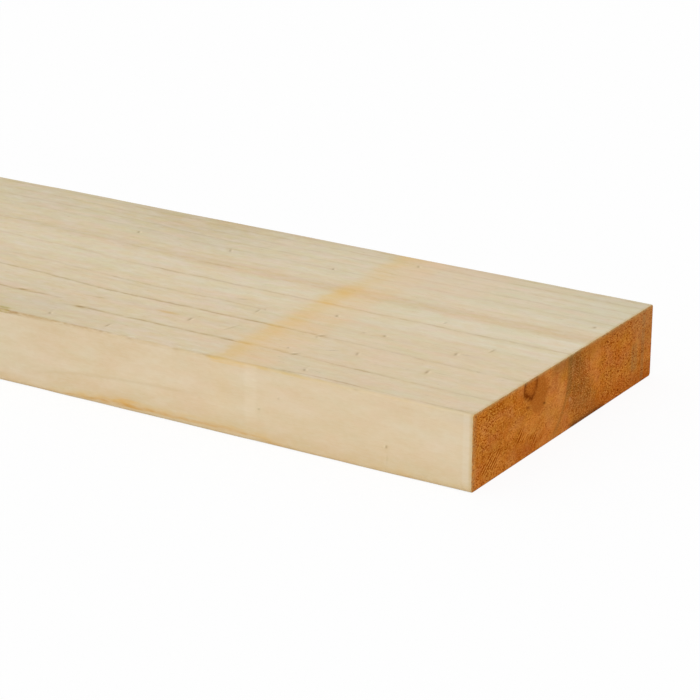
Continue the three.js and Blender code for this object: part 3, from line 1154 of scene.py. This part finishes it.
def finished_skin(skin, wood, ends):
    tree = Tree("mill_work", ("Marks", "Saw depth"))
    nodes = tree.nodes
    place = tree.place()
    x, y, z = parted(place)

    # The nearest mark, and where this point lies along and across it.
    source = nodes.nodes.new("GeometryNodeObjectInfo")
    plug(nodes, tree.size("Marks"), source.inputs["Object"])
    points = Wire(nodes, source.outputs["Geometry"])
    nearest = wired(nodes, "GeometryNodeSampleNearest", (points, place), domain="POINT")

    def of_mark(value, kind="FLOAT"):
        node = nodes.nodes.new("GeometryNodeSampleIndex")
        node.data_type = kind
        node.domain = "POINT"
        plug(nodes, points, node.inputs["Geometry"])
        plug(nodes, value, node.inputs["Value"])
        plug(nodes, nearest, node.inputs["Index"])
        return Wire(nodes, node.outputs[0])

    def named(name):
        node = nodes.nodes.new("GeometryNodeInputNamedAttribute")
        node.data_type = "FLOAT"
        node.inputs["Name"].default_value = name
        return of_mark(Wire(nodes, node.outputs[0]))

    mark_x, mark_y, mark_z = parted(of_mark(tree.place(), "FLOAT_VECTOR"))
    off_along = x - mark_x
    off_across = (y - mark_y) + (z - mark_z)
    heading = named("heading")
    cosine = heading.maths("COSINE")
    sine = heading.maths("SINE")
    lengthwise = (off_along * cosine + off_across * sine) / named("reach")
    crosswise = (off_across * cosine - off_along * sine) / named("width")
    tooth = (lengthwise * lengthwise * -1.0 - crosswise * crosswise).maths("EXPONENT")
    # Beside one flank of each mark lies the strip that gets the painted highlight.
    beside = crosswise - 1.9
    rim = (lengthwise * lengthwise * -1.0 - beside * beside * 0.8).maths("EXPONENT")
    around = (lengthwise * lengthwise * -0.2 - crosswise * crosswise * 0.12).maths("EXPONENT")
    stain = named("stain")
    # Per point: the mark's dirt and painted shade, its painted highlight, and the bruise round it.
    tree.store("mill_mark", point(tooth * stain, rim * stain, around * stain), "FLOAT_VECTOR", "POINT")

    # Press the marks in, and cut the saw's arcs into the two ends.
    facing = wired(nodes, "GeometryNodeInputNormal")
    on_end = abs(parted(facing)[0]).ramp(0.9, 0.98)
    arcs = saw_arcs(y / MM + WIDTH / MM / 2, z / MM)
    depth = tooth * named("press") * 0.5 + on_end * arcs * tree.size("Saw depth")
    inwards = depth * -1.0
    factors = (facing, point(inwards, inwards, inwards))
    push = wired(nodes, "ShaderNodeVectorMath", factors, operation="MULTIPLY")
    tree.then("GeometryNodeSetPosition", True, place, push)

    # The surface map: a strip for each long face and the two ends side by side.
    true_facing = wired(nodes, "GeometryNodeInputNormal")
    node = nodes.nodes.new("GeometryNodeFieldOnDomain")
    node.data_type = "FLOAT_VECTOR"
    node.domain = "FACE"
    plug(nodes, true_facing, node.inputs[0])
    face_x, face_y, face_z = parted(Wire(nodes, node.outputs[0]))
    rims = (END_EASING, BESIDE)
    plain = LENGTH - NEAR_STRETCH - 2 * sum(rims)
    long_real = (*rims, plain, NEAR_STRETCH, *reversed(rims))
    u = stretches(x / LENGTH + 0.5, LONG_MAP, long_real) + MAP_MARGIN

    def strip(share, size, low_edge, height):
        flat = size - 2 * (ARRIS_REACH + BESIDE)
        real = (ARRIS_REACH, BESIDE, flat, BESIDE, ARRIS_REACH)
        eased = ARRIS_PART * height
        beside = BESIDE_PART * height
        drawn = (eased, beside, height - 2 * (eased + beside), beside, eased)
        return stretches(share, drawn, real) + low_edge

    lows = []
    low_edge = STRIP_GAP
    for height in (END_STRIP, NEAR_STRIP, FAR_STRIP, UNDER_STRIP, TOP_STRIP):
        lows.append(low_edge)
        low_edge += height + STRIP_GAP
    over_share = y / WIDTH + 0.5
    up_share = z / THICKNESS
    v_near = strip(up_share, THICKNESS, lows[1], NEAR_STRIP)
    v_far = strip(up_share, THICKNESS, lows[2], FAR_STRIP)
    v_under = strip(over_share, WIDTH, lows[3], UNDER_STRIP)
    v_top = strip(over_share, WIDTH, lows[4], TOP_STRIP)

    def chosen(test, yes, no):
        return yes * test + no * (1.0 - test)

    is_end = abs(face_x).maths("GREATER_THAN", 0.75)
    is_flat = abs(face_z).maths("GREATER_THAN", abs(face_y))
    is_up = face_z.maths("GREATER_THAN", 0.0)
    is_near = face_y.maths("LESS_THAN", 0.0)
    v_long = chosen(is_flat, chosen(is_up, v_top, v_under), chosen(is_near, v_near, v_far))
    seen_end = face_x.maths("GREATER_THAN", 0.0)
    u_seen, u_other = (over_share * width + start for start, width in (SEEN_END_SPAN, OTHER_END_SPAN))
    u_end = chosen(seen_end, u_seen, u_other)
    v_end = up_share * END_STRIP + lows[0]
    map_place = point(chosen(is_end, u_end, u), chosen(is_end, v_end, v_long), face_x * 0.0)
    tree.store("OFBake", map_place, "FLOAT2", "CORNER")

    tree.then("GeometryNodeRealizeInstances")
    tree.then("GeometryNodeSetMaterial", True, wood)
    tree.then("GeometryNodeSetMaterial", is_end, ends)
    tree.then("GeometryNodeSetShadeSmooth", True, True)
    carrier = mark_points()
    mesh = tree.shaped(skin, {"Marks": carrier, "Saw depth": SAW_DEPTH})
    bpy.data.objects.remove(carrier)
    return mesh


skin = finished_skin(plank_mesh, planed_softwood(), end_grain())
plank = bpy.data.objects.new("planed_plank", skin)
bpy.context.scene.collection.objects.link(plank)
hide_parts("plank")
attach(plank, "root")


# ---------------------------------------------------------------------------------------------
# The studio. A wide pale floor that the plank lies on, an even white sky, one broad soft lamp
# from the front, and the camera low at the plank's marked end.

FLOOR_HALF = 60.0
FLOOR_LEVEL = -0.0001  # just below the plank, so that the two don't share a plane
FLOOR_TONE = (0.95, 0.95, 0.95, 1.0)
FLOOR_GLOW = 0.86  # how much of what the camera sees of the floor is plain white
WHITE = (1.0, 1.0, 1.0, 1.0)
SKY_LIGHT = 0.62  # what reaches the plank, while the camera sees the sky as plain white
LAMP_LIGHT = 1.5
LAMP_FROM = (0.18, -0.26, 0.38)  # towards the lamp
LAMP_SPREAD = math.radians(40)
CAMERA_PLACE = (1.77706, -1.10571, 0.48552)
CAMERA_TURN = 31.574
CAMERA_DROP = 19.834
CAMERA_ROLL = 0.5145
LENS = 142.5


def looked_at(tree):
    """1 where the camera, a reflection or a see-through surface looks straight at something."""
    path = tree.nodes.new("ShaderNodeLightPath")
    camera = Wire(tree, path.outputs["Is Camera Ray"])
    glossy = Wire(tree, path.outputs["Is Glossy Ray"])
    clear = Wire(tree, path.outputs["Is Transmission Ray"])
    return camera.most(glossy).most(clear)


def studio_floor():
    ways = ((-1, -1), (1, -1), (1, 1), (-1, 1))
    corners = [(x * FLOOR_HALF, y * FLOOR_HALF, FLOOR_LEVEL) for x, y in ways]
    mesh = bpy.data.meshes.new("floor")
    mesh.from_pydata(corners, [], [(0, 1, 2, 3)])
    floor = bpy.data.objects.new("floor", mesh)
    bpy.context.scene.collection.objects.link(floor)
    material, tree, finish = bare_material("floor")
    finish.inputs["Base Color"].default_value = FLOOR_TONE
    finish.inputs["Roughness"].default_value = 0.9
    finish.inputs["Specular IOR Level"].default_value = 0.0
    glow = tree.nodes.new("ShaderNodeEmission")
    glow.inputs["Color"].default_value = WHITE
    glow.inputs["Strength"].default_value = 1.0
    mixed = tree.nodes.new("ShaderNodeMixShader")
    plug(tree, looked_at(tree) * FLOOR_GLOW, mixed.inputs[0])
    tree.links.new(finish.outputs[0], mixed.inputs[1])
    tree.links.new(glow.outputs[0], mixed.inputs[2])
    tree.links.new(mixed.outputs[0], tree.nodes["Material Output"].inputs["Surface"])
    mesh.materials.append(material)


def studio_light():
    world = bpy.data.worlds.new("sky")
    bpy.context.scene.world = world
    world.use_nodes = True
    tree = world.node_tree
    sky = tree.nodes["Background"]
    sky.inputs["Color"].default_value = WHITE
    plug(tree, looked_at(tree) * (1.0 - SKY_LIGHT) + SKY_LIGHT, sky.inputs["Strength"])
    lamp = bpy.data.lights.new("lamp", "SUN")
    lamp.energy = LAMP_LIGHT
    lamp.angle = LAMP_SPREAD
    holder = bpy.data.objects.new("lamp", lamp)
    holder.rotation_euler = Vector(LAMP_FROM).to_track_quat("Z", "Y").to_euler()
    bpy.context.scene.collection.objects.link(holder)


def studio_camera():
    camera = bpy.data.cameras.new("camera")
    camera.lens = LENS
    camera.sensor_width = 36.0
    camera.clip_end = 300.0
    holder = bpy.data.objects.new("camera", camera)
    turn = Matrix.Rotation(math.radians(CAMERA_TURN), 4, "Z")
    drop = Matrix.Rotation(math.radians(90 - CAMERA_DROP), 4, "X")
    roll = Matrix.Rotation(math.radians(CAMERA_ROLL), 4, "Z")
    holder.matrix_world = Matrix.Translation(CAMERA_PLACE) @ turn @ drop @ roll
    bpy.context.scene.collection.objects.link(holder)
    bpy.context.scene.camera = holder


studio_floor()
studio_light()
studio_camera()
bpy.context.scene.view_settings.view_transform = "Standard"
